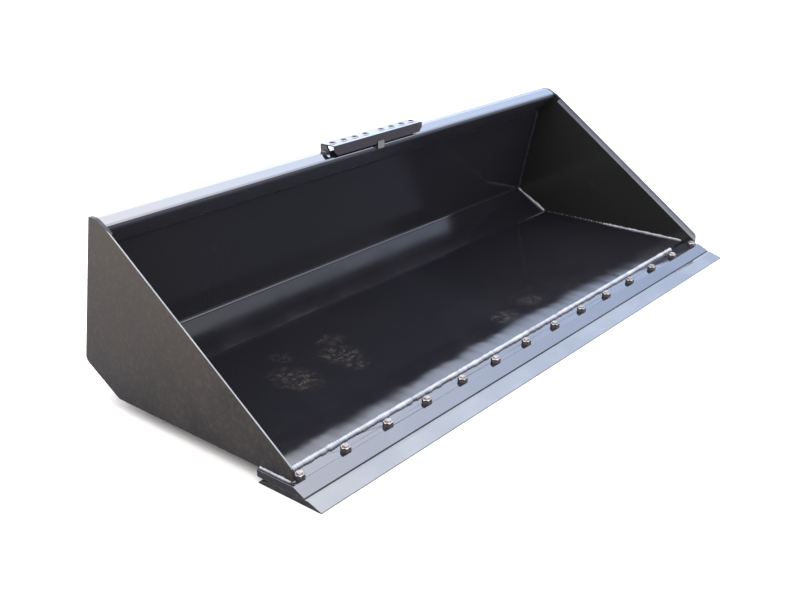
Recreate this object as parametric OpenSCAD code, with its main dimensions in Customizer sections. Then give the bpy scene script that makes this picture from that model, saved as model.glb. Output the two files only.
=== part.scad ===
// Low-profile skid steer bucket: a bent floor and back sheet between two side plates,
// a three-sided tube along the top, a welded base edge with a bolt-on reversible
// cutting edge, a perforated step, and a quick-attach frame on the back.
// Millimetres, +Z up. X runs across the bucket and Y from the cutting edge to the rear.
// The origin is under the middle of the bucket, on the surface it stands on.

/* [Bucket body] */
// Width over the side plates
bucket_w = 2032; // [1524:1:2438]
// Height of the top tube above the underside of the floor
bucket_h = 489; // [470:1:560]
// Distance from the bolt line back to the heel bend
heel_y = 636; // [580:1:720]
// Front-to-back run of the sloping heel
heel_run = 132; // [100:1:160]
// Rise of the sloping heel
heel_rise = 76; // [60:1:90]
// How far the top of the back leans forward of its foot
back_lean = 100; // [60:1:120]
// Thickness of the bent floor and back sheet
sheet_t = 6; // [5:0.5:8]
// Outer radius of the sheet's bends
bend_r = 18; // [12:1:24]
// Distance from the bolt line to the front edge of the floor sheet
floor_front_y = 40; // [30:1:60]

/* [Side plates] */
// Thickness of a side plate
side_t = 10; // [8:0.5:12]
// How far the nose of a side plate stands in front of the bolt line
side_nose_y = 3; // [2:1:12]
// Height of the nose of a side plate
side_nose_h = 37; // [28:1:48]
// Width of the bevel on the inner face of the front edge
side_bevel_w = 17; // [12:1:26]
// Thickness left at the front edge by the bevel
side_land = 4; // [3:0.5:6]

/* [Top tube] */
// Reach of the tube's nose in front of its rear edge
tube_reach = 66; // [56:1:76]
// Width of the level top of the tube
tube_flat = 26; // [18:1:34]
// Drop from the level top to the nose
tube_drop = 19; // [12:1:24]
// Height of the tube where it meets the back
tube_depth = 91; // [80:1:110]
// Thickness of the tube's plate
tube_t = 5; // [4:0.5:6]

/* [Base edge and cutting edge] */
// How far both edges stand outside each side plate
edge_overhang = 10; // [0:1:20]
// Thickness of the base edge
base_t = 19; // [16:1:25]
// Distance from the bolt line to the rear of the base edge
base_rear = 104; // [90:1:120]
// Distance from the bolt line to the front of the base edge
base_front = 48; // [44:1:54]
// Distance from the bolt line to the start of the base edge's bevel
base_flat = 14; // [13:0.5:18]
// Front-to-back width of the cutting edge
cutting_w = 200; // [190:1:220]
// Thickness of the cutting edge
cutting_t = 16; // [14:1:20]
// Width of the bevel along both long sides of the cutting edge
cutting_bevel_w = 40; // [25:1:44]
// Height of the blunt land left at each bevelled edge
edge_land = 3; // [2:0.5:5]

/* [Edge bolts] */
// Spacing of the edge bolts
bolt_pitch = 152.4; // [120:0.1:203.2]
// Diameter of the bolt shank
bolt_d = 16; // [14:1:18]
// Nut size across the flats
nut_af = 24; // [22:1:26]
// Height of a nut
nut_h = 13; // [11:1:15]

/* [Step] */
// Length of the step
step_l = 410; // [396:1:460]
// Front-to-back width of the step
step_w = 59; // [56:1:76]
// Height of the step above the top tube
step_h = 23; // [21:1:34]
// Thickness of the step's plate
step_t = 4; // [3:0.5:5]
// Gap between the step's front flange and the slope of the tube
step_gap_h = 7; // [5:1:10]
// Spacing of the raised grip holes
grip_pitch = 49; // [46:1:49]
// Radius of a grip hole
grip_r = 8; // [6:0.5:9]
// Height of the rim around a grip hole
grip_rim_h = 3; // [2:0.5:6]

/* [Quick-attach frame] */
// Width of the attach plate
attach_w = 1143; // [1130:1:1160]
// Height of the attach plate
attach_h = 385; // [350:1:388]
// Thickness of the attach plate
attach_t = 10; // [8:1:12]
// Rearward reach of the top hook
hook_reach = 36; // [28:1:44]
// Distance from the back's foot to the rear of the lower flange
flange_reach = 76; // [66:1:90]
// Thickness of the lower flange
flange_t = 12; // [10:1:14]
// Spacing of the two latch slots
slot_pitch = 930; // [900:1:940]
// Length of a latch slot
slot_l = 72; // [60:1:80]
// Width of a latch slot
slot_w = 30; // [26:1:34]
// Thickness of the ribs, gussets and end plates
rib_t = 10; // [8:1:12]

/* [Skid runners] */
// Width of a runner
runner_w = 50; // [40:1:70]
// Spacing of the runners
runner_pitch = 480; // [300:1:500]

/* [Hidden] */
$fn = 48;

// Colours
plate_colour = [0.13, 0.13, 0.16];
edge_colour = [0.45, 0.47, 0.52];
zinc_colour = [0.72, 0.66, 0.60];

// Back: its foot, its height and its lean
foot_y = heel_y + heel_run;
back_rise = bucket_h - heel_rise;
back_angle = atan(back_lean / back_rise);
top_rear_y = foot_y - back_lean;

// Inside width between the side plates, and length of both edges
inner_w = bucket_w - 2 * side_t;
edge_l = bucket_w + 2 * edge_overhang;

// Stack of the edges below the floor
edge_drop = base_t + cutting_t;
rear_y = foot_y + flange_reach;
mid_y = (rear_y - cutting_w / 2) / 2;

// Bolt row: as many bolts as fit between the side plates
bolt_room = 4;
bolt_count = floor((inner_w - nut_af - bolt_room) / bolt_pitch) + 1;
bolt_clear = 0.75;
nut_clear = 0.1;
bolt_stand = 4;
head_h = 8;
head_r = bolt_d / 2 + 7;

// Step: its two ends and the places of its grip holes
step_rear_y = top_rear_y;
step_front_y = step_rear_y - step_w;
step_top = bucket_h + step_h;
tube_slope = tube_drop / (tube_reach - tube_flat);
step_flange = step_h + tube_slope * (step_w - tube_flat) - step_gap_h;
flange_corner = 14;
grips_each_side = 4;
leg_t = 6;
// Share of the pitch by which the middle gap between the grip holes is shortened on each side
grip_gap_cut = 0.25;
tab_w = 30;
tab_lap = 10;
tube_nose_r = 12;

// Quick-attach frame
attach_foot = 18;
attach_top = attach_foot + attach_h;
flange_z = heel_rise + 20;
rib_x = 800;
inner_gusset_x = 340;

// Round steps in a fillet
fillet_steps = 5;
// Cuts run this far past the faces they cut
cut_past = 1;

// ---- Shape helpers ----

function unit(v) = v / norm(v);
function turn_left(v) = [-v[1], v[0]];

// Points of the arc of radius r that rounds corner b between a and c
function fillet(a, b, c, r) =
    let (u = unit(a - b), v = unit(c - b), half = acos(u * v) / 2)
    let (from = b + u * r / tan(half), to = b + v * r / tan(half))
    let (centre = b + unit(u + v) * r / sin(half))
    [for (i = [0:fillet_steps])
        let (chord = from + (to - from) * i / fillet_steps)
        centre + unit(chord - centre) * r];

// Point i of an open path, moved t to the path's left and mitred at corners
function moved(path, i, t) =
    let (last = len(path) - 1)
    let (before = unit(path[max(i, 1)] - path[max(i, 1) - 1]))
    let (after = unit(path[min(i, last - 1) + 1] - path[min(i, last - 1)]))
    let (across = unit(turn_left(before) + turn_left(after)))
    path[i] + across * t / (across * turn_left(after));

// Outline of a sheet of thickness t that follows an open path
function band(path, t) =
    concat(path, [for (i = [len(path) - 1:-1:0]) moved(path, i, t)]);

// Y of the back's outer face at height z above the floor's underside
function back_y(z) = foot_y - back_lean * (z - heel_rise) / back_rise;

// Y of the back's inner face at height z
function back_inner_y(z) = back_y(z) - sheet_t / cos(back_angle);

// Y of the attach plate's rear face at height z
function attach_face_y(z) = back_y(z) + attach_t / cos(back_angle);

// Moves from the bolt line's frame to the part's own frame
module in_part() {
    translate([0, -mid_y, edge_drop])
        children();
}

// Extrudes a side outline, drawn in Y and Z, across X
module across(w) {
    rotate([90, 0, 90])
        linear_extrude(w, center = true)
            children();
}

// The back's own frame: Y out of the back, Z up along it
module on_back() {
    translate([0, foot_y, heel_rise])
        rotate([back_angle, 0, 0])
            children();
}

// ---- Bucket body ----

// Floor, sloping heel and leaning back, bent from one sheet
module shell() {
    front = [floor_front_y, 0];
    heel = [heel_y, 0];
    foot = [foot_y, heel_rise];
    top_z = bucket_h - tube_t;
    top = [back_y(top_z), top_z];
    path = concat([front], fillet(front, heel, foot, bend_r), fillet(heel, foot, top, bend_r), [top]);
    color(plate_colour)
        in_part()
            across(inner_w)
                polygon(band(path, sheet_t));
}

// Outline shared by both side plates
module side_outline() {
    nose_top = [-side_nose_y, side_nose_h];
    nose_foot = [-side_nose_y, 0];
    tube_nose = [top_rear_y - tube_reach, bucket_h - tube_drop];
    tube_bend = [top_rear_y - tube_flat, bucket_h];
    top_rear = [top_rear_y, bucket_h];
    heel = [heel_y, 0];
    foot = [foot_y, heel_rise];
    polygon(concat(
        fillet(heel, nose_foot, nose_top, side_nose_y / 2),
        fillet(nose_foot, nose_top, tube_nose, side_nose_h / 2),
        fillet(nose_top, tube_nose, tube_bend, bend_r),
        fillet(tube_nose, tube_bend, top_rear, bend_r),
        [top_rear],
        fillet(top_rear, foot, heel, bend_r),
        fillet(foot, heel, nose_foot, bend_r)
    ));
}

// Right side plate with a knife bevel along the inner side of its front edge
module side_plate() {
    nose = [-side_nose_y, side_nose_h];
    edge = [top_rear_y - tube_reach, bucket_h - tube_drop] - nose;
    bevel_angle = atan((side_t - side_land) / side_bevel_w);
    in_part()
        difference() {
            translate([(bucket_w - side_t) / 2, 0, 0])
                across(side_t)
                    side_outline();
            translate([bucket_w / 2 - side_land, nose[0], nose[1]])
                rotate([atan2(edge[1], edge[0]), 0, 0])
                    rotate([0, bevel_angle, 0])
                        translate([-2 * side_t, -bend_r, -2 * side_bevel_w])
                            cube([2 * side_t, norm(edge), 4 * side_bevel_w]);
        }
}

module side_plate_right() {
    color(plate_colour)
        side_plate();
}

module side_plate_left() {
    color(plate_colour)
        mirror([1, 0, 0])
            side_plate();
}

// Outer profile of the tube from its lower lip over its nose to its rear edge
function tube_profile() =
    let (low_z = bucket_h - tube_depth)
    let (low = [back_inner_y(low_z), low_z], rear = [top_rear_y, bucket_h])
    let (nose = [top_rear_y - tube_reach, bucket_h - tube_drop])
    let (bend = [top_rear_y - tube_flat, bucket_h])
    concat([low], fillet(low, nose, bend, tube_nose_r), fillet(nose, bend, rear, bend_r), [rear]);

// Bent plate that closes against the back to make a three-sided tube
module top_tube() {
    color(plate_colour)
        in_part()
            across(inner_w)
                difference() {
                    polygon(band(tube_profile(), -tube_t));
                    // Trims the lower lip to the face of the back
                    polygon([
                        [back_inner_y(0), 0],
                        [back_inner_y(bucket_h - 3 * tube_t), bucket_h - 3 * tube_t],
                        [foot_y, bucket_h - 3 * tube_t],
                        [foot_y, 0]
                    ]);
                }
}

// ---- Edges and their bolts ----

// Calls its children at each bolt of the row
module at_bolts() {
    for (i = [0:bolt_count - 1])
        translate([(i - (bolt_count - 1) / 2) * bolt_pitch, 0, 0])
            children();
}

// Welded base edge, flat behind the bolts and bevelled in front of them
module base_edge() {
    color(edge_colour)
        in_part()
            difference() {
                across(edge_l)
                    polygon([
                        [-base_front, -base_t],
                        [base_rear, -base_t],
                        [base_rear, 0],
                        [-base_flat, 0],
                        [-base_front, edge_land - base_t]
                    ]);
                at_bolts()
                    translate([0, 0, -base_t - cut_past])
                        cylinder(d = bolt_d + 2 * bolt_clear, h = base_t + 2 * cut_past);
            }
}

// Reversible bolt-on edge with a bevel along both long sides
module cutting_edge() {
    half = cutting_w / 2;
    flat = half - cutting_bevel_w;
    neck = bolt_d + 2 * bolt_clear;
    color(edge_colour)
        in_part()
            translate([0, 0, -edge_drop])
                difference() {
                    across(edge_l)
                        polygon([
                            [-half, 0],
                            [half, 0],
                            [half, edge_land],
                            [flat, cutting_t],
                            [-flat, cutting_t],
                            [-half, edge_land]
                        ]);
                    at_bolts() {
                        translate([-neck / 2, -neck / 2, -cut_past])
                            cube([neck, neck, cutting_t + 2 * cut_past]);
                        cylinder(r1 = head_r + bolt_clear, r2 = bolt_d / 2 + bolt_clear, h = head_h);
                    }
                }
}

// Plow bolts: countersunk head, square neck and round shank
module plow_bolts() {
    shank_l = base_t + nut_h + bolt_stand;
    color(zinc_colour)
        in_part()
            at_bolts()
                translate([0, 0, -edge_drop]) {
                    cylinder(r1 = head_r, r2 = bolt_d / 2, h = head_h);
                    translate([-bolt_d / 2, -bolt_d / 2, head_h / 2])
                        cube([bolt_d, bolt_d, cutting_t - head_h / 2]);
                    translate([0, 0, cutting_t])
                        cylinder(d = bolt_d, h = shank_l);
                }
}

// Hexagon nuts with chamfered top corners
module edge_nuts() {
    corner_r = nut_af / 2 / cos(30);
    color(zinc_colour)
        in_part()
            at_bolts()
                difference() {
                    intersection() {
                        cylinder(r = corner_r, h = nut_h, $fn = 6);
                        cylinder(r1 = corner_r + nut_h, r2 = nut_af / 2 - 1, h = nut_h);
                    }
                    translate([0, 0, -cut_past])
                        cylinder(d = bolt_d + 2 * nut_clear, h = nut_h + 2 * cut_past);
                }
}

// ---- Step ----

// Calls its children at each grip hole, none in the middle of the step
module at_grips() {
    for (side = [-1, 1])
        for (i = [1:grips_each_side])
            translate([side * (i - grip_gap_cut) * grip_pitch, (step_front_y + step_rear_y) / 2, step_top])
                children();
}

// Tread plate with raised grip holes and a front flange
module step_tread() {
    corner_side = flange_corner * sqrt(2);
    color(plate_colour)
        in_part()
            difference() {
                union() {
                    translate([-step_l / 2, step_front_y, step_top - step_t])
                        cube([step_l, step_w, step_t]);
                    translate([-step_l / 2, step_front_y, step_top - step_flange])
                        cube([step_l, step_t, step_flange]);
                    at_grips()
                        cylinder(r1 = grip_r + 5, r2 = grip_r + 2, h = grip_rim_h);
                }
                at_grips()
                    translate([0, 0, -step_t - cut_past])
                        cylinder(r = grip_r, h = step_t + grip_rim_h + 2 * cut_past);
                // Corners cut off both ends of the front flange
                for (side = [-1, 1])
                    translate([side * step_l / 2, step_front_y - cut_past, step_top - step_flange])
                        rotate([0, 45, 0])
                            cube([corner_side, 2 * (step_t + cut_past), corner_side], center = true);
            }
}

// Tapered leg under one end of the tread
module step_leg() {
    top_z = step_top - step_t;
    bend_y = top_rear_y - tube_flat;
    toe_y = bend_y - tube_flat / 2;
    toe_z = bucket_h - tube_slope * (bend_y - toe_y);
    in_part()
        translate([step_l / 2 - leg_t / 2, 0, 0])
            across(leg_t)
                polygon([
                    [step_rear_y, bucket_h],
                    [step_rear_y, top_z],
                    [bend_y, top_z],
                    [toe_y, toe_z + 1],
                    [bend_y, bucket_h]
                ]);
}

module step_leg_right() {
    color(plate_colour)
        step_leg();
}

module step_leg_left() {
    color(plate_colour)
        mirror([1, 0, 0])
            step_leg();
}

// Lug on the tube's nose that carries the middle of the front flange
module step_tab() {
    flange_z = step_top - step_flange;
    front = step_front_y - step_t;
    back = step_front_y + 2 * step_t;
    low_z = bucket_h - tube_drop - step_t;
    color(plate_colour)
        in_part()
            across(tab_w)
                difference() {
                    polygon([
                        [front, low_z],
                        [front, flange_z + tab_lap],
                        [step_front_y, flange_z + tab_lap],
                        [step_front_y, flange_z],
                        [back, flange_z],
                        [back, low_z]
                    ]);
                    polygon(tube_profile());
                }
}

// ---- Quick-attach frame ----

// Flat plate welded on the back
module attach_plate() {
    color(plate_colour)
        in_part()
            on_back()
                translate([-attach_w / 2, 0, attach_foot])
                    cube([attach_w, attach_t, attach_h]);
}

// Hook flange that slopes down and rearward from the top of the attach plate
module attach_hook() {
    root = 14;
    color(plate_colour)
        in_part()
            on_back()
                across(attach_w)
                    polygon([
                        [attach_t, attach_top],
                        [attach_t, attach_top - root],
                        [attach_t + hook_reach - root / 2, attach_top - hook_reach - root / 2],
                        [attach_t + hook_reach, attach_top - hook_reach]
                    ]);
}

// End plate that closes the attach frame at the right
module attach_end() {
    hook_y = attach_t + hook_reach;
    hook_z = attach_top - hook_reach;
    waist = 32;
    in_part()
        on_back()
            translate([(attach_w + rib_t) / 2, 0, 0])
                across(rib_t)
                    polygon([
                        [0, bend_r],
                        [0, attach_top],
                        [attach_t, attach_top],
                        [hook_y, hook_z],
                        [hook_y, hook_z - waist],
                        [waist, hook_z - 3 * waist],
                        [waist, 3 * waist],
                        [flange_reach - 14, waist + 8],
                        [flange_reach - 14, 6]
                    ]);
}

module attach_end_right() {
    color(plate_colour)
        attach_end();
}

module attach_end_left() {
    color(plate_colour)
        mirror([1, 0, 0])
            attach_end();
}

// Level lower flange with a latch slot near each end
module attach_flange() {
    slot_y = (attach_face_y(flange_z) + rear_y) / 2;
    straight = slot_l - slot_w;
    color(plate_colour)
        in_part()
            difference() {
                across(attach_w)
                    polygon([
                        [attach_face_y(flange_z), flange_z],
                        [rear_y, flange_z],
                        [rear_y, flange_z + flange_t],
                        [attach_face_y(flange_z + flange_t), flange_z + flange_t]
                    ]);
                for (side = [-1, 1])
                    translate([side * slot_pitch / 2, slot_y, flange_z - cut_past]) {
                        translate([-straight / 2, 0, 0])
                            cylinder(d = slot_w, h = flange_t + 2 * cut_past);
                        translate([straight / 2, 0, 0])
                            cylinder(d = slot_w, h = flange_t + 2 * cut_past);
                        translate([-straight / 2, -slot_w / 2, 0])
                            cube([straight, slot_w, flange_t + 2 * cut_past]);
                    }
            }
}

// Gusset between the lower flange and the sloping heel
module flange_gusset(x) {
    low = 0.35;
    color(plate_colour)
        in_part()
            translate([x, 0, 0])
                across(rib_t)
                    polygon([
                        [heel_y + low * heel_run, low * heel_rise],
                        [rear_y - 6, flange_z],
                        [attach_face_y(flange_z), flange_z],
                        [foot_y, heel_rise]
                    ]);
}

// Tapered stiffening rib on the back, beside the attach frame
module back_rib(x) {
    depth = 40;
    length = norm([back_lean, back_rise]) - bend_r;
    color(plate_colour)
        in_part()
            on_back()
                translate([x, 0, 0])
                    across(rib_t)
                        polygon([
                            [0, bend_r],
                            [0, length - bend_r],
                            [depth * 0.6, length - 2 * depth],
                            [depth, 2 * depth],
                            [depth * 0.5, bend_r]
                        ]);
}

// ---- Skid runners ----

// Runner under the floor, level with the underside of the cutting edge
module runner(i) {
    front = base_rear + 6;
    rear = heel_y - bend_r;
    color(plate_colour)
        in_part()
            translate([(i - 1.5) * runner_pitch, 0, 0])
                across(runner_w)
                    polygon([
                        [front, 0],
                        [front + edge_drop, -edge_drop],
                        [rear - edge_drop, -edge_drop],
                        [rear, 0]
                    ]);
}

shell();
side_plate_left();
side_plate_right();
top_tube();
base_edge();
cutting_edge();
plow_bolts();
edge_nuts();
step_tread();
step_leg_left();
step_leg_right();
step_tab();
attach_plate();
attach_hook();
attach_end_left();
attach_end_right();
attach_flange();
flange_gusset(-attach_w / 2 + rib_t / 2);  // flange_gusset_1
flange_gusset(-inner_gusset_x);  // flange_gusset_2
flange_gusset(inner_gusset_x);  // flange_gusset_3
flange_gusset(attach_w / 2 - rib_t / 2);  // flange_gusset_4
back_rib(-rib_x);  // back_rib_left
back_rib(rib_x);  // back_rib_right
runner(0);  // runner_1
runner(1);  // runner_2
runner(2);  // runner_3
runner(3);  // runner_4
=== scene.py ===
"""Looks of the skid steer bucket: glossy near-black paint with dust, worn bluish edges, zinc nuts,
weld beads along the welded joints, a pale floor and soft light.

Metres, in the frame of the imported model. The gloss of each group of faces is chosen for this light."""

import math
import random

import bmesh
import bpy
from mathutils import Matrix, Vector


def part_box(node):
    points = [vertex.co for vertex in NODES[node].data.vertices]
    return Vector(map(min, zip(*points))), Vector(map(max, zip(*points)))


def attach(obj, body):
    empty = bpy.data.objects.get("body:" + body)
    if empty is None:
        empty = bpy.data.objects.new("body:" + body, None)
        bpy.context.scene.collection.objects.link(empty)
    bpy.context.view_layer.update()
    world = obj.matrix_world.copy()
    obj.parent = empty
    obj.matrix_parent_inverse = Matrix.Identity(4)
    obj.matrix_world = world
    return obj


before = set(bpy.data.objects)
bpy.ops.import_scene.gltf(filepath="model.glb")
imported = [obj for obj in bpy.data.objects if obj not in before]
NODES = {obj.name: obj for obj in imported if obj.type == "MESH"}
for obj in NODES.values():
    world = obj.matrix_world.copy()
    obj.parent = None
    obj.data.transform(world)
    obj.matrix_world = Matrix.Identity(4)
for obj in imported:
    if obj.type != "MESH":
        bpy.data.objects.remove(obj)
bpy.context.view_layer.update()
BODY = "root"
random.seed(11)

# ---- Places read from the frame ----

SHELL_LOW, SHELL_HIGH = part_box("shell")
SIDE_LOW, SIDE_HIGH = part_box("side_plate_right")
TUBE_LOW, TUBE_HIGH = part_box("top_tube")
BASE_LOW, BASE_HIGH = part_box("base_edge")
NUT_LOW, NUT_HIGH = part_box("edge_nuts")
TREAD_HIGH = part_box("step_tread")[1]
LEG_LOW, LEG_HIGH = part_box("step_leg_right")
TAB_LOW, TAB_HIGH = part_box("step_tab")
PLATE_LOW, PLATE_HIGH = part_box("attach_plate")
END_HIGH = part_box("attach_end_right")[1]
FLANGE_LOW, FLANGE_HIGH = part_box("attach_flange")
RIB_LOW, RIB_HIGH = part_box("back_rib_right")

SHEET = 0.006

# Height of the attach plate up the back, and how far up the back the ribs' beads run
ATTACH_HEIGHT = 0.385
RIB_BEAD_TOP = 0.385

INNER_X = SHELL_HIGH.x
OUTER_X = SIDE_HIGH.x
UNDER_Z = SHELL_LOW.z
FLOOR_Z = UNDER_Z + SHEET
FLOOR_FRONT_Y = SHELL_LOW.y
TOP_Z = TUBE_HIGH.z
TOP_REAR_Y = TREAD_HIGH.y

# The back's outer face: a flat face from the foot up to the tube, leaning forward
BACK_LEAN = 0.100
HEEL_RUN = 0.132
HEEL_RISE = 0.076
FOOT = Vector((0, TOP_REAR_Y + BACK_LEAN, UNDER_Z + HEEL_RISE))
HEEL = Vector((0, FOOT.y - HEEL_RUN, UNDER_Z))
BACK_ANGLE = math.atan(BACK_LEAN / (TOP_Z - FOOT.z))
HEEL_ANGLE = math.atan(HEEL_RISE / HEEL_RUN)


def on_back(x, out, up):
    """A point that far out from the back's outer face and up along it from the foot."""
    c, s = math.cos(BACK_ANGLE), math.sin(BACK_ANGLE)
    return Vector((x, FOOT.y + out * c - up * s, FOOT.z + out * s + up * c))


def back_at(x, out, z):
    """A point at height z, that far out from the back's outer face."""
    c, s = math.cos(BACK_ANGLE), math.sin(BACK_ANGLE)
    return on_back(x, out, (z - FOOT.z - out * s) / c)


# ---- Node helpers ----

def new_material(name):
    """A node material, with its tree and its Principled shader."""
    material = bpy.data.materials.new(name)
    material.use_nodes = True
    tree = material.node_tree
    return material, tree, tree.nodes["Principled BSDF"]


def add(tree, kind, **settings):
    """A new node with its settings."""
    node = tree.nodes.new(kind)
    for key, value in settings.items():
        setattr(node, key, value)
    return node


def feed(tree, socket, value):
    """Links an output to a socket, or sets the socket's own value."""
    if isinstance(value, bpy.types.NodeSocket):
        tree.links.new(value, socket)
    else:
        socket.default_value = value


def place(tree, scale=(1, 1, 1), offset=(0, 0, 0)):
    """Object coordinates, in metres, scaled and moved."""
    coords = add(tree, "ShaderNodeTexCoord").outputs["Object"]
    mapping = add(tree, "ShaderNodeMapping")
    feed(tree, mapping.inputs["Vector"], coords)
    mapping.inputs["Scale"].default_value = scale
    mapping.inputs["Location"].default_value = offset
    return mapping.outputs["Vector"]


def noise(tree, vector, scale, detail=4.0, roughness=0.55, distortion=0.0):
    """Fractal noise from 0 to 1."""
    node = add(tree, "ShaderNodeTexNoise")
    feed(tree, node.inputs["Vector"], vector)
    node.inputs["Scale"].default_value = scale
    node.inputs["Detail"].default_value = detail
    node.inputs["Roughness"].default_value = roughness
    node.inputs["Distortion"].default_value = distortion
    return node.outputs["Fac"]


def ramp(tree, value, low, high, out_low=0.0, out_high=1.0, smooth=True):
    """Maps low..high to out_low..out_high, clamped."""
    node = add(tree, "ShaderNodeMapRange", clamp=True)
    node.interpolation_type = "SMOOTHSTEP" if smooth else "LINEAR"
    feed(tree, node.inputs["Value"], value)
    node.inputs["From Min"].default_value = low
    node.inputs["From Max"].default_value = high
    node.inputs["To Min"].default_value = out_low
    node.inputs["To Max"].default_value = out_high
    return node.outputs["Result"]


def maths(tree, operation, a, b=0.0):
    """One maths node."""
    node = add(tree, "ShaderNodeMath", operation=operation)
    feed(tree, node.inputs[0], a)
    feed(tree, node.inputs[1], b)
    return node.outputs[0]


def blend_colour(tree, factor, a, b):
    """Mixes colour a to colour b by factor."""
    node = add(tree, "ShaderNodeMix", data_type="RGBA")
    feed(tree, node.inputs[0], factor)
    feed(tree, node.inputs[6], a)
    feed(tree, node.inputs[7], b)
    return node.outputs[2]


def bump(tree, height, strength, distance, below=None):
    """Bump from a height, stacked on another bump."""
    node = add(tree, "ShaderNodeBump")
    feed(tree, node.inputs["Height"], height)
    node.inputs["Strength"].default_value = strength
    node.inputs["Distance"].default_value = distance
    if below is not None:
        feed(tree, node.inputs["Normal"], below)
    return node.outputs["Normal"]


def coordinate(tree, vector, axis):
    """The X, Y or Z of a vector."""
    split = add(tree, "ShaderNodeSeparateXYZ")
    feed(tree, split.inputs[0], vector)
    return split.outputs[axis]


def near(tree, centre, size):
    """1 at a centre, falling to 0 at an ellipsoid of that size."""
    scale = tuple(1 / s for s in size)
    vector = place(tree, scale, tuple(-c / s for c, s in zip(centre, size)))
    length = add(tree, "ShaderNodeVectorMath", operation="LENGTH")
    feed(tree, length.inputs[0], vector)
    return ramp(tree, length.outputs["Value"], 0.35, 1.0, 1.0, 0.0)


# ---- Materials ----

BLACK = (0.0052, 0.0050, 0.0064, 1)
DUST = (0.33, 0.26, 0.17, 1)

# A shaded dip along the front of the floor sheet, which bends the reflection there
CURL_WIDTH = 0.080
CURL_DROP = 0.0026
CURL_ROUGHNESS = 0.08
CURL_SCALLOP = 0.010
CURL_TAPER = 0.014


def height_above_ground(tree):
    """Height above the surface the bucket stands on, in metres."""
    return coordinate(tree, place(tree), "Z")


def curl_share(tree):
    """From 0 behind the curl to 1 at the floor's front edge, along a slightly scalloped line."""
    world = place(tree)
    wave = noise(tree, place(tree, (1.0, 0.0, 0.0)), 8.0, detail=2.0)
    scallop = ramp(tree, wave, 0.3, 0.7, -CURL_SCALLOP, CURL_SCALLOP)
    left_end = ramp(tree, coordinate(tree, world, "X"), -INNER_X, -0.45 * INNER_X, CURL_TAPER, 0.0)
    y = maths(tree, "ADD", maths(tree, "ADD", coordinate(tree, world, "Y"), scallop), left_end)
    return ramp(tree, y, FLOOR_FRONT_Y + CURL_WIDTH, FLOOR_FRONT_Y, smooth=False)


def scratches(tree, scale, stretch, offset):
    """Thin broken lines, 0 or near 1."""
    vector = place(tree, stretch, offset)
    lines = noise(tree, vector, scale, detail=1.0, roughness=0.5, distortion=0.2)
    return ramp(tree, maths(tree, "ABSOLUTE", maths(tree, "SUBTRACT", lines, 0.5)), 0.0, 0.004, 1.0, 0.0)


def gloss_paint(name, dust=0.006, waviness=1.0, rough=0.07, tone=BLACK, ior=1.6, patches=(), curled=False):
    """Glossy near-black enamel: wavy reflections, orange peel, light dust, scratches and dust patches."""
    material, tree, shader = new_material(name)
    world = place(tree)
    cloud = noise(tree, world, 2.3, detail=6.0, roughness=0.6)
    grain = noise(tree, world, 60.0, detail=8.0, roughness=0.75)
    film = maths(tree, "MULTIPLY", ramp(tree, cloud, 0.35, 0.75), ramp(tree, grain, 0.3, 0.75))
    cover = maths(tree, "MULTIPLY", film, dust)
    if patches:
        clump = ramp(tree, noise(tree, world, 48.0, detail=6.0, roughness=0.78), 0.42, 0.66)
        speck = ramp(tree, noise(tree, world, 240.0, detail=4.0, roughness=0.8), 0.3, 0.7, 0.3, 1.0)
        print_mark = maths(tree, "MULTIPLY", clump, speck)
    for centre, size, amount in patches:
        spot = maths(tree, "MULTIPLY", near(tree, centre, size), print_mark)
        cover = maths(tree, "MAXIMUM", cover, maths(tree, "MULTIPLY", spot, amount))
    lines = maths(tree, "MULTIPLY", scratches(tree, 2.2, (1.0, 5.0, 5.0), (3.1, 0.4, 0.0)),
                  ramp(tree, cloud, 0.5, 0.62, 0.0, 0.014))
    cover = maths(tree, "MAXIMUM", cover, lines)
    feed(tree, shader.inputs["Base Color"], blend_colour(tree, cover, tone, DUST))
    smear = ramp(tree, noise(tree, world, 7.0, detail=5.0), 0.35, 0.7, rough, rough + 0.06)
    if curled:
        share = curl_share(tree)
        smear = maths(tree, "ADD", smear, ramp(tree, share, 0.0, 0.6, 0.0, CURL_ROUGHNESS))
    feed(tree, shader.inputs["Roughness"], maths(tree, "ADD", smear, maths(tree, "MULTIPLY", cover, 4.0)))
    shader.inputs["IOR"].default_value = ior
    long_wave = noise(tree, place(tree, (0.5, 1.0, 1.0)), 2.6, detail=1.0)
    swell = bump(tree, long_wave, 1.0, 0.0006 * waviness)
    fine_wave = noise(tree, place(tree, (1.0, 0.4, 0.4)), 11.0, detail=1.0)
    ripple = bump(tree, fine_wave, 1.0, 0.00012 * waviness, swell)
    if curled:
        dip = maths(tree, "MULTIPLY", maths(tree, "POWER", share, 2.0), -1.0)
        ripple = bump(tree, dip, 1.0, CURL_DROP, ripple)
    peel = bump(tree, noise(tree, world, 260.0, detail=2.0), 0.1, 0.0002, ripple)
    feed(tree, shader.inputs["Normal"], bump(tree, cover, 0.3, 0.0006, peel))
    return material


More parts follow.
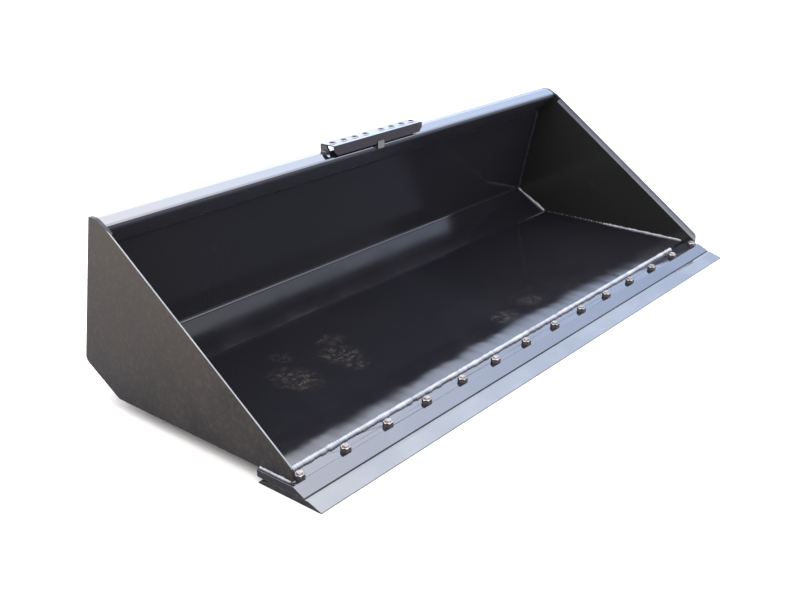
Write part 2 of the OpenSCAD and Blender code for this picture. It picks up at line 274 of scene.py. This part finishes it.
def side_paint(name, low, high, inner_shade=1.0, outer_shade=1.0):
    """Scuffed satin enamel, mottled, going from the low colour at the ground to the high colour at the top:
    painted shade by height, which on the outer side plates darkens the lower part as a dark ground would.

    The shades lighten or darken it at the inner and the outer side of a side plate's thickness."""
    material, tree, shader = new_material(name)
    world = place(tree)
    cloud = noise(tree, world, 5.5, detail=7.0, roughness=0.62, distortion=0.5)
    fine = noise(tree, world, 90.0, detail=6.0, roughness=0.7)
    # Painted shade: the colour changes with height, on the outer side plates darker towards the ground.
    rise = ramp(tree, height_above_ground(tree), UNDER_Z, TOP_Z, smooth=False)
    height_shaded = blend_colour(tree, rise, low + (1,), high + (1,))
    rubbed = tuple(1.5 * max(a, b) for a, b in zip(low, high)) + (1,)
    worn = blend_colour(tree, ramp(tree, cloud, 0.3, 0.7, 0.0, 0.24), height_shaded, rubbed)
    if inner_shade != outer_shade:
        depth = maths(tree, "ABSOLUTE", coordinate(tree, world, "X"))
        shade = ramp(tree, depth, INNER_X + 0.001, OUTER_X - 0.004, inner_shade, outer_shade)
        scale = add(tree, "ShaderNodeVectorMath", operation="SCALE")
        feed(tree, scale.inputs[0], worn)
        feed(tree, scale.inputs["Scale"], shade)
        worn = scale.outputs["Vector"]
    dusty = ramp(tree, fine, 0.45, 0.8, 0.0, 0.06)
    feed(tree, shader.inputs["Base Color"], blend_colour(tree, dusty, worn, DUST))
    feed(tree, shader.inputs["Roughness"], ramp(tree, cloud, 0.3, 0.7, 0.34, 0.5))
    shader.inputs["IOR"].default_value = 1.18
    swell = bump(tree, noise(tree, world, 4.0, detail=2.0), 1.0, 0.002)
    feed(tree, shader.inputs["Normal"], bump(tree, fine, 0.15, 0.0006, swell))
    return material


def edge_paint(name, tone, ior, rough=0.16, hollow=0.0):
    """Rolled edge steel under thin gloss: mill lines along its length and rubbed patches.

    A hollow tips its reflection forward, as on a plate that is slightly dished."""
    material, tree, shader = new_material(name)
    world = place(tree)
    cloud = noise(tree, world, 6.0, detail=6.0, roughness=0.6)
    mill = noise(tree, place(tree, (1.5, 60.0, 60.0)), 2.0, detail=4.0, roughness=0.6)
    worn = tuple(min(1.0, c * 2.2) for c in tone[:3]) + (1,)
    feed(tree, shader.inputs["Base Color"], blend_colour(tree, ramp(tree, cloud, 0.35, 0.7), tone, worn))
    feed(tree, shader.inputs["Roughness"], ramp(tree, cloud, 0.3, 0.75, rough, rough + 0.08))
    shader.inputs["IOR"].default_value = ior
    swell = bump(tree, noise(tree, place(tree, (0.5, 1, 1)), 5.0, detail=2.0), 1.0, 0.0002)
    if hollow:
        swell = bump(tree, coordinate(tree, world, "Y"), 1.0, hollow, swell)
    feed(tree, shader.inputs["Normal"], bump(tree, mill, 0.2, 0.0003, swell))
    return material


def zinc(name, light, dark):
    """Zinc plate with a tan passivation between two colours, with painted shade darkening it towards its
    foot.
    """
    material, tree, shader = new_material(name)
    world = place(tree)
    cloud = noise(tree, world, 70.0, detail=5.0)
    clean = blend_colour(tree, ramp(tree, cloud, 0.35, 0.65), dark + (1,), light + (1,))
    # Painted shade: darker towards the foot of the nut, next to the plate it sits on.
    foot = ramp(tree, height_above_ground(tree), NUT_LOW.z + 0.004, NUT_HIGH.z - 0.001, 0.85, 0.0)
    feed(tree, shader.inputs["Base Color"], blend_colour(tree, foot, clean, (0.02, 0.02, 0.025, 1)))
    feed(tree, shader.inputs["Metallic"], ramp(tree, foot, 0.0, 0.8, 0.8, 0.1))
    feed(tree, shader.inputs["Roughness"], ramp(tree, cloud, 0.3, 0.7, 0.3, 0.5))
    feed(tree, shader.inputs["Normal"], bump(tree, noise(tree, world, 500.0), 0.3, 0.0003))
    return material


def weld_paint(name, tone, ior=1.7, rough=0.16, dust=0.03):
    """Painted weld bead with spatter grain."""
    material, tree, shader = new_material(name)
    world = place(tree)
    cloud = noise(tree, world, 25.0, detail=5.0)
    dark = tuple(c * 0.5 for c in tone[:3]) + (1,)
    painted = blend_colour(tree, ramp(tree, cloud, 0.3, 0.7), dark, tone)
    feed(tree, shader.inputs["Base Color"],
         blend_colour(tree, ramp(tree, noise(tree, world, 120.0), 0.5, 0.8, 0.0, dust), painted, DUST))
    feed(tree, shader.inputs["Roughness"], ramp(tree, cloud, 0.3, 0.7, rough, rough + 0.18))
    shader.inputs["IOR"].default_value = ior
    feed(tree, shader.inputs["Normal"], bump(tree, noise(tree, world, 300.0), 0.3, 0.0004))
    return material


# Two boot prints and some grit on the floor and a rub on the back: centre, size and strength
DUST_PATCHES = [
    ((-0.592, 0.104, FLOOR_Z), (0.045, 0.050, 0.05), 0.060),
    ((-0.655, -0.020, FLOOR_Z), (0.078, 0.110, 0.05), 0.090),
    ((-0.415, 0.080, FLOOR_Z), (0.065, 0.055, 0.05), 0.075),
    ((-0.470, -0.010, FLOOR_Z), (0.075, 0.090, 0.05), 0.095),
    ((-0.485, -0.085, FLOOR_Z), (0.055, 0.050, 0.05), 0.060),
    ((0.040, -0.218, FLOOR_Z), (0.080, 0.045, 0.05), 0.055),
    ((0.193, -0.207, FLOOR_Z), (0.080, 0.045, 0.05), 0.040),
    ((-0.600, 0.343, 0.317), (0.018, 0.030, 0.016), 0.035),
]


# Rounding of the sharp edges, and how far down from the top the upper profile's paint reaches
SMALL_ROUND = 0.0007
PLATE_ROUND = 0.0012
TOP_BAND = 0.040


def dress_frame():
    """Gives every CAD node its materials and softens its sharp edges."""
    floor = gloss_paint("gloss_black", ior=1.52, patches=DUST_PATCHES, curled=True)
    # Painted light: the back inside the bucket gets a lighter black than the floor's, a lit copy of the same
    # paint.
    back = gloss_paint("gloss_black_back", rough=0.10, tone=(0.0100, 0.0098, 0.0120, 1), ior=1.3,
                       patches=DUST_PATCHES[-1:])
    # Painted light: the tube's downward faces get a lighter black than the floor's, to lift the shade they
    # stand in.
    under = gloss_paint("gloss_black_under", rough=0.2, tone=(0.0200, 0.0198, 0.0255, 1), ior=1.3)
    # Painted light: the side plates' inner faces get a lighter black than the floor's, a lit copy of the same
    # paint.
    inside = gloss_paint("gloss_black_sides", tone=(0.0100, 0.0097, 0.0094, 1), ior=1.45)
    plain = gloss_paint("gloss_black_plain", dust=0.02, waviness=0.6, rough=0.16)
    tube = gloss_paint("gloss_black_tube", waviness=0.5, rough=0.05, ior=1.95)
    # Painted shade: the outer side plates' enamel darkens from the top down to the ground.
    outer = side_paint("side_enamel", (0.0064, 0.0062, 0.0080), (0.0345, 0.0288, 0.0240))
    ends = side_paint("edge_end_enamel", (0.0080, 0.0080, 0.0105), (0.0215, 0.0195, 0.0240))
    bevel = side_paint("ground_bevel", (0.085, 0.091, 0.098), (0.046, 0.049, 0.057), 1.4, 0.7)
    land = edge_paint("land_paint", (0.050, 0.050, 0.048, 1), 1.6)
    base = edge_paint("base_edge_paint", (0.004, 0.004, 0.006, 1), 1.75, rough=0.06, hollow=0.06)
    cutting = edge_paint("cutting_edge_paint", (0.018, 0.018, 0.016, 1), 1.8, rough=0.10)
    plated = zinc("zinc_plate", (0.26, 0.235, 0.225), (0.15, 0.13, 0.12))
    # Painted shade: a darker copy of the zinc for the nuts' hex sides.
    shaded_zinc = zinc("zinc_shaded_sides", (0.055, 0.048, 0.050), (0.030, 0.026, 0.028))
    looks = {name: plain for name in NODES}
    looks.update(shell=floor, top_tube=tube, side_plate_left=outer, side_plate_right=outer,
                 step_tread=tube, step_tab=tube, base_edge=base, cutting_edge=cutting,
                 plow_bolts=plated, edge_nuts=plated)
    for name, node in NODES.items():
        node.data.materials.clear()
        node.data.materials.append(looks[name])
        soften(node, SMALL_ROUND if name in ("edge_nuts", "plow_bolts") else PLATE_ROUND)
    for name in ("base_edge", "cutting_edge"):
        paint_faces(NODES[name], ends, lambda face: abs(face.normal.x) > 0.9 or face.normal.z < -0.9)
    # Painted shade: the tread's faces that do not look up take the dull brown-grey end enamel in place of the
    # tube's gloss, to look shaded.
    paint_faces(NODES["step_tread"], ends, lambda face: face.normal.z < 0.1)
    # Painted shade on the nuts' hex sides.
    paint_faces(NODES["edge_nuts"], shaded_zinc, lambda face: abs(face.normal.z) < 0.3)
    paint_faces(NODES["shell"], back, lambda face: face.normal.y < -0.9 and face.center.z > FOOT.z - 0.01)
    paint_faces(NODES["top_tube"], under, lambda face: face.normal.z < 0.2)
    for name, inward in (("side_plate_left", 1), ("side_plate_right", -1)):
        node = NODES[name]
        paint_faces(node, inside, lambda face: face.normal.x * inward > 0.99)
        paint_faces(node, bevel, lambda face: 0.5 < face.normal.x * inward < 0.99)
        paint_faces(node, land, lambda face: abs(face.normal.x) < 0.2 and face.normal.y < -0.2)
        paint_faces(node, ends, lambda face: abs(face.normal.x) < 0.2 and face.center.z > TOP_Z - TOP_BAND)
        paint_faces(node, ends, lambda face: face.normal.y < -0.9 and face.center.z < UNDER_Z + 0.05)
    shaded = side_paint("land_shaded", (0.060, 0.062, 0.080), (0.040, 0.040, 0.056))
    paint_faces(NODES["side_plate_right"], shaded,
                lambda face: (abs(face.normal.x) < 0.2 and face.normal.y < -0.2
                              and face.center.z < TOP_Z - TOP_BAND))


def soften(node, width):
    """Rounds a CAD node's sharp edges a little."""
    weld = node.modifiers.new("join_corners", "WELD")
    weld.merge_threshold = 0.00001
    bevel = node.modifiers.new("soft_edges", "BEVEL")
    bevel.width = width
    bevel.segments = 2
    bevel.limit_method = "ANGLE"
    bevel.angle_limit = math.radians(38)
    bevel.harden_normals = True


def paint_faces(node, material, wanted):
    """Gives the wanted faces another material."""
    node.data.materials.append(material)
    slot = len(node.data.materials) - 1
    for polygon in node.data.polygons:
        if wanted(polygon):
            polygon.material_index = slot


# ---- Weld beads ----

BEAD_SIDES = 8

# Spacing of a bead's rings where it is in view, and behind and below
FINE_STEP = 0.003
COARSE_STEP = 0.004


def bead(name, path, up, radius, material, pitch=0.012, ripple=0.2, step=FINE_STEP):
    """A weld bead along a path: an oval section with bowed, uneven ripples and tapered ends."""
    up = Vector(up).normalized()
    points = sample(path, step)
    total = len(points) - 1
    wander = [random.uniform(-1, 1) for _ in range(total // 3 + 3)]
    rings = []
    for i, (centre, along) in enumerate(points):
        across = along.cross(up).normalized()
        lift = across.cross(along).normalized()
        taper = min(1.0, 0.3 + 0.7 * min(i, total - i) * step / radius)
        spot, part = divmod(i / 3, 1)
        swell = wander[int(spot)] * (1 - part) + wander[int(spot) + 1] * part
        size = radius * taper * (1 + 0.2 * swell)
        middle = centre + across * (0.12 * radius * swell)
        ring = []
        for k in range(BEAD_SIDES):
            turn = 2 * math.pi * k / BEAD_SIDES
            phase = 2 * math.pi * (i * step / pitch + 0.3 * math.cos(turn) ** 2)
            r = size * (1 + ripple * 0.5 * math.sin(phase))
            ring.append(middle + across * (r * math.cos(turn)) + lift * (r * math.sin(turn)))
        rings.append(ring)
    return loft(name, rings, material)


def sample(path, step):
    """Points every step along a path of straight stretches, each with its direction."""
    out = []
    for a, b in zip(path, path[1:]):
        a, b = Vector(a), Vector(b)
        count = max(2, int((b - a).length / step))
        along = (b - a).normalized()
        out += [(a.lerp(b, i / count), along) for i in range(count)]
    out.append((Vector(path[-1]), out[-1][1]))
    return out


def loft(name, rings, material):
    """A closed tube through rings of points, as a piece that rides on the bucket."""
    mesh = bmesh.new()
    rows = [[mesh.verts.new(p) for p in ring] for ring in rings]
    for a, b in zip(rows, rows[1:]):
        for k in range(len(a)):
            n = (k + 1) % len(a)
            mesh.faces.new((a[k], a[n], b[n], b[k]))
    mesh.faces.new(list(reversed(rows[0])))
    mesh.faces.new(rows[-1])
    bmesh.ops.recalc_face_normals(mesh, faces=mesh.faces)
    for face in mesh.faces:
        face.smooth = True
    data = bpy.data.meshes.new(name)
    mesh.to_mesh(data)
    mesh.free()
    data.materials.append(material)
    piece = bpy.data.objects.new(name, data)
    bpy.context.scene.collection.objects.link(piece)
    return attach(piece, BODY)


SIDES = ((-1, "left"), (1, "right"))
BEAD_END_GAP = 0.100


def weld_floor(paint, bare, dull, hidden):
    """Beads around the floor, the heel and the back inside the bucket."""
    y = FLOOR_FRONT_Y - 0.002
    z = UNDER_Z + 0.0025
    bead("weld_floor_lap", [(-INNER_X + 0.008, y, z), (INNER_X - BEAD_END_GAP, y, z)], (0, -0.5, 1), 0.0070,
         bare, pitch=0.0095, ripple=0.3)
    heel_low = Vector((0, HEEL.y - SHEET * math.tan(HEEL_ANGLE / 2), FLOOR_Z))
    heel_high = back_at(0, -SHEET, FOOT.z + 0.002)
    lip = back_at(0, -SHEET, TUBE_LOW.z)
    for side, label in SIDES:
        x = side * (INNER_X - 0.001)
        corner = (-side, 0, 1)
        front = (x, FLOOR_FRONT_Y + 0.006, FLOOR_Z)
        change = (x, FLOOR_FRONT_Y + 0.33, FLOOR_Z)
        bead("weld_floor_side_front_" + label, [front, change], corner, 0.0048, bare)
        bead("weld_floor_side_rear_" + label, [change, (x, heel_low.y, heel_low.z)], corner, 0.0042, paint)
        bead("weld_heel_side_" + label,
             [(x, heel_low.y - 0.004, heel_low.z), (x, heel_high.y, heel_high.z)], corner, 0.0054, bare)
        bead("weld_back_side_" + label,
             [(x, heel_high.y, heel_high.z - 0.003), (x, lip.y, lip.z)],
             (-side, -1, 0), 0.0068, dull, ripple=0.1)
        bead("weld_tube_end_" + label,
             [(x, lip.y - 0.003, lip.z), (x, TUBE_LOW.y + 0.004, TOP_Z - 0.022)],
             (-side, -0.5, -0.5), 0.0022, hidden)
    low_y, low_z = lip.y + 0.001, lip.z - 0.001
    bead("weld_tube_low", [(-INNER_X + 0.004, low_y, low_z), (INNER_X - 0.004, low_y, low_z)],
         (0, -1, -0.3), 0.0018, hidden)


def weld_edges(paint, bare):
    """Beads that join the side plates and the floor's underside to the base edge."""
    z = BASE_HIGH.z + 0.001
    for side, label in SIDES:
        x = side * (OUTER_X + 0.0005)
        bead("weld_side_edge_" + label, [(x, BASE_LOW.y + 0.048, z), (x, BASE_HIGH.y, z)],
             (side, 0, 1), 0.0034, bare)
        nose_y = SIDE_LOW.y - 0.001
        bead("weld_nose_" + label,
             [(side * (INNER_X + 0.0005), nose_y, z), (side * (OUTER_X + 0.001), nose_y, z)],
             (0, -1, 1), 0.0055, paint)
        rise = [(side * INNER_X, HEEL.y, UNDER_Z), (side * INNER_X, FOOT.y, FOOT.z)]
        bead("weld_under_side_" + label,
             [(side * INNER_X, BASE_HIGH.y + 0.004, UNDER_Z), rise[0]],
             (0, 0, -1), 0.0035, paint, step=COARSE_STEP)
        bead("weld_under_heel_" + label, rise, (0, 1, -1), 0.0035, paint, step=COARSE_STEP)
        bead("weld_rear_side_" + label,
             [on_back(side * INNER_X, 0, 0.002), back_at(side * INNER_X, 0, TOP_Z - 0.008)],
             (0, 1, 0.2), 0.0035, paint, step=COARSE_STEP)
    rear_y, rear_z = BASE_HIGH.y + 0.001, UNDER_Z - 0.001
    bead("weld_base_rear", [(-INNER_X, rear_y, rear_z), (INNER_X, rear_y, rear_z)],
         (0, 1, -1), 0.0040, paint, step=COARSE_STEP)
    seam = back_at(0, 0.0005, SHELL_HIGH.z)
    bead("weld_tube_rear", [(-INNER_X, seam.y, seam.z), (INNER_X, seam.y, seam.z)],
         (0, 1, 0.2), 0.0028, paint, step=COARSE_STEP)


def weld_step(paint):
    """Beads around the feet of the step."""
    for side, label in SIDES:
        x = side * (LEG_HIGH.x + 0.0005)
        bead("weld_step_leg_" + label,
             [(x, LEG_LOW.y + 0.013, TOP_Z), (x, LEG_HIGH.y - 0.002, TOP_Z)], (side, 0, 1), 0.0024, paint)
    foot_y, foot_z = TAB_LOW.y + 0.006, TAB_LOW.z + 0.0005
    bead("weld_step_tab", [(TAB_LOW.x, foot_y, foot_z), (TAB_HIGH.x, foot_y, foot_z)],
         (0, -1, -1), 0.0030, paint)


def weld_rear(paint):
    """Beads of the quick-attach frame, its gussets and the ribs."""
    foot_up = (PLATE_LOW.z - FOOT.z) / math.cos(BACK_ANGLE)
    top_up = foot_up + ATTACH_HEIGHT
    for side, label in SIDES:
        x = side * (END_HIGH.x + 0.0005)
        bead("weld_attach_end_" + label, [on_back(x, 0, foot_up + 0.004), on_back(x, 0, top_up - 0.004)],
             (side, 1, 0), 0.0036, paint, step=COARSE_STEP)
        for edge, mark in ((RIB_LOW.x, "inner"), (RIB_HIGH.x, "outer")):
            bead("weld_rib_" + label + "_" + mark,
                 [on_back(side * edge, 0, 0.020), on_back(side * edge, 0, RIB_BEAD_TOP)],
                 (side if mark == "outer" else -side, 1, 0), 0.0032, paint, step=COARSE_STEP)
    bead("weld_attach_top", [on_back(PLATE_LOW.x, 0, top_up), on_back(PLATE_HIGH.x, 0, top_up)],
         (0, 1, 1), 0.0036, paint, step=COARSE_STEP)
    hook_up = top_up - 0.0145
    bead("weld_hook_root",
         [on_back(PLATE_LOW.x + 0.004, 0.0105, hook_up), on_back(PLATE_HIGH.x - 0.004, 0.0105, hook_up)],
         (0, 1, -1), 0.0032, paint, step=COARSE_STEP)
    root = back_at(0, 0.0105, FLANGE_HIGH.z)
    bead("weld_flange_top", [(FLANGE_LOW.x + 0.004, root.y, root.z), (FLANGE_HIGH.x - 0.004, root.y, root.z)],
         (0, 1, 1), 0.0040, paint, step=COARSE_STEP)
    for number in range(1, 5):
        low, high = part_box("flange_gusset_%d" % number)
        for x, side, mark in ((low.x, -1, "left"), (high.x, 1, "right")):
            bead("weld_gusset_%d_%s" % (number, mark),
                 [(x, low.y, low.z), (x, FOOT.y, FOOT.z)], (side, 1, -1), 0.0032, paint, step=COARSE_STEP)
            bead("weld_gusset_flange_%d_%s" % (number, mark),
                 [(x, FOOT.y + 0.014, high.z), (x, high.y - 0.004, high.z)],
                 (side, 0, -1), 0.0030, paint, step=COARSE_STEP)


STITCH = 0.06


def weld_runners(paint):
    """Stitch welds along both sides of each skid runner."""
    for number in range(1, 5):
        low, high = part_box("runner_%d" % number)
        for x, side, mark in ((low.x, -1, "left"), (high.x, 1, "right")):
            for stitch, share in enumerate((0.03, 0.5, 0.97)):
                start = low.y + 0.012 + share * (high.y - low.y - 0.024 - STITCH)
                bead("weld_runner_%d_%s_%d" % (number, mark, stitch + 1),
                     [(x, start, UNDER_Z), (x, start + STITCH, UNDER_Z)],
                     (side, 0, -1), 0.0034, paint, step=COARSE_STEP)


def weld_body():
    """Every weld bead of the bucket."""
    paint = weld_paint("weld_gloss", (0.012, 0.012, 0.016, 1))
    bare = weld_paint("weld_thin_paint", (0.19, 0.195, 0.21, 1), rough=0.26)
    hidden = weld_paint("weld_shaded", (0.0090, 0.0090, 0.0110, 1), ior=1.2, rough=0.5, dust=0.004)
    dull = weld_paint("weld_dull", (0.0085, 0.0090, 0.0130, 1), ior=1.35, rough=0.4, dust=0.008)
    weld_floor(paint, bare, dull, hidden)
    weld_edges(paint, bare)
    weld_step(paint)
    weld_rear(paint)
    weld_runners(paint)


# ---- Camera, floor and light ----

CAMERA_AZIMUTH = -49.69
CAMERA_ELEVATION = 22.49
CAMERA_ROLL = -0.77
CAMERA_DISTANCE = 3.345
CAMERA_LENS = 46.38
CAMERA_TARGET = Vector((0.0, 0.166, 0.008))


def make_camera():
    """Camera in front of the bucket's left side, looking down at it."""
    data = bpy.data.cameras.new("camera")
    data.lens = CAMERA_LENS
    data.sensor_width = 36.0
    data.clip_start = 0.05
    data.clip_end = 200.0
    camera = bpy.data.objects.new("camera", data)
    bpy.context.scene.collection.objects.link(camera)
    a, e, r = (math.radians(v) for v in (CAMERA_AZIMUTH, CAMERA_ELEVATION, CAMERA_ROLL))
    back = Vector((math.sin(a) * math.cos(e), -math.cos(a) * math.cos(e), math.sin(e)))
    level = Vector((0, 0, 1)).cross(back).normalized()
    upright = back.cross(level)
    right = level * math.cos(r) + upright * math.sin(r)
    up = upright * math.cos(r) - level * math.sin(r)
    turn = Matrix((right, up, back)).transposed()
    camera.matrix_world = Matrix.Translation(CAMERA_TARGET + back * CAMERA_DISTANCE) @ turn.to_4x4()
    bpy.context.scene.camera = camera


def make_floor():
    """Plain pale floor that the bucket stands on."""
    half = 40.0
    data = bpy.data.meshes.new("floor")
    corners = [(-half, -half, 0), (half, -half, 0), (half, half, 0), (-half, half, 0)]
    data.from_pydata(corners, [], [(0, 1, 2, 3)])
    floor = bpy.data.objects.new("floor", data)
    bpy.context.scene.collection.objects.link(floor)
    material, tree, shader = new_material("pale_floor")
    shader.inputs["Base Color"].default_value = (0.40, 0.385, 0.36, 1)
    shader.inputs["Roughness"].default_value = 0.9
    shader.inputs["Specular IOR Level"].default_value = 0.1
    data.materials.append(material)


def make_sky():
    """Soft dome: pale at the horizon, much brighter high up and bluer to the right, like hazy daylight."""
    world = bpy.data.worlds.new("studio")
    bpy.context.scene.world = world
    world.use_nodes = True
    tree = world.node_tree
    coords = add(tree, "ShaderNodeTexCoord").outputs["Generated"]
    height = coordinate(tree, coords, "Z")
    aside = ramp(tree, coordinate(tree, coords, "X"), 0.50, 0.84, smooth=False)
    colour = blend_colour(tree, aside, (1.00, 1.01, 1.08, 1), (0.72, 0.88, 1.22, 1))
    low = ramp(tree, height, 0.08, 0.42, 1.2, 2.9)
    behind = ramp(tree, coordinate(tree, coords, "Y"), 0.35, 0.75, 0.0, 1.3)
    rear = maths(tree, "MULTIPLY", behind, ramp(tree, height, 0.05, 0.25))
    high = maths(tree, "ADD", ramp(tree, height, 0.42, 0.85, 0.0, 3.0), rear)
    background = tree.nodes["Background"]
    feed(tree, background.inputs["Color"], colour)
    feed(tree, background.inputs["Strength"], maths(tree, "ADD", low, high))


make_camera()
make_floor()
make_sky()
dress_frame()
weld_body()

bpy.context.scene.view_settings.view_transform = "Standard"
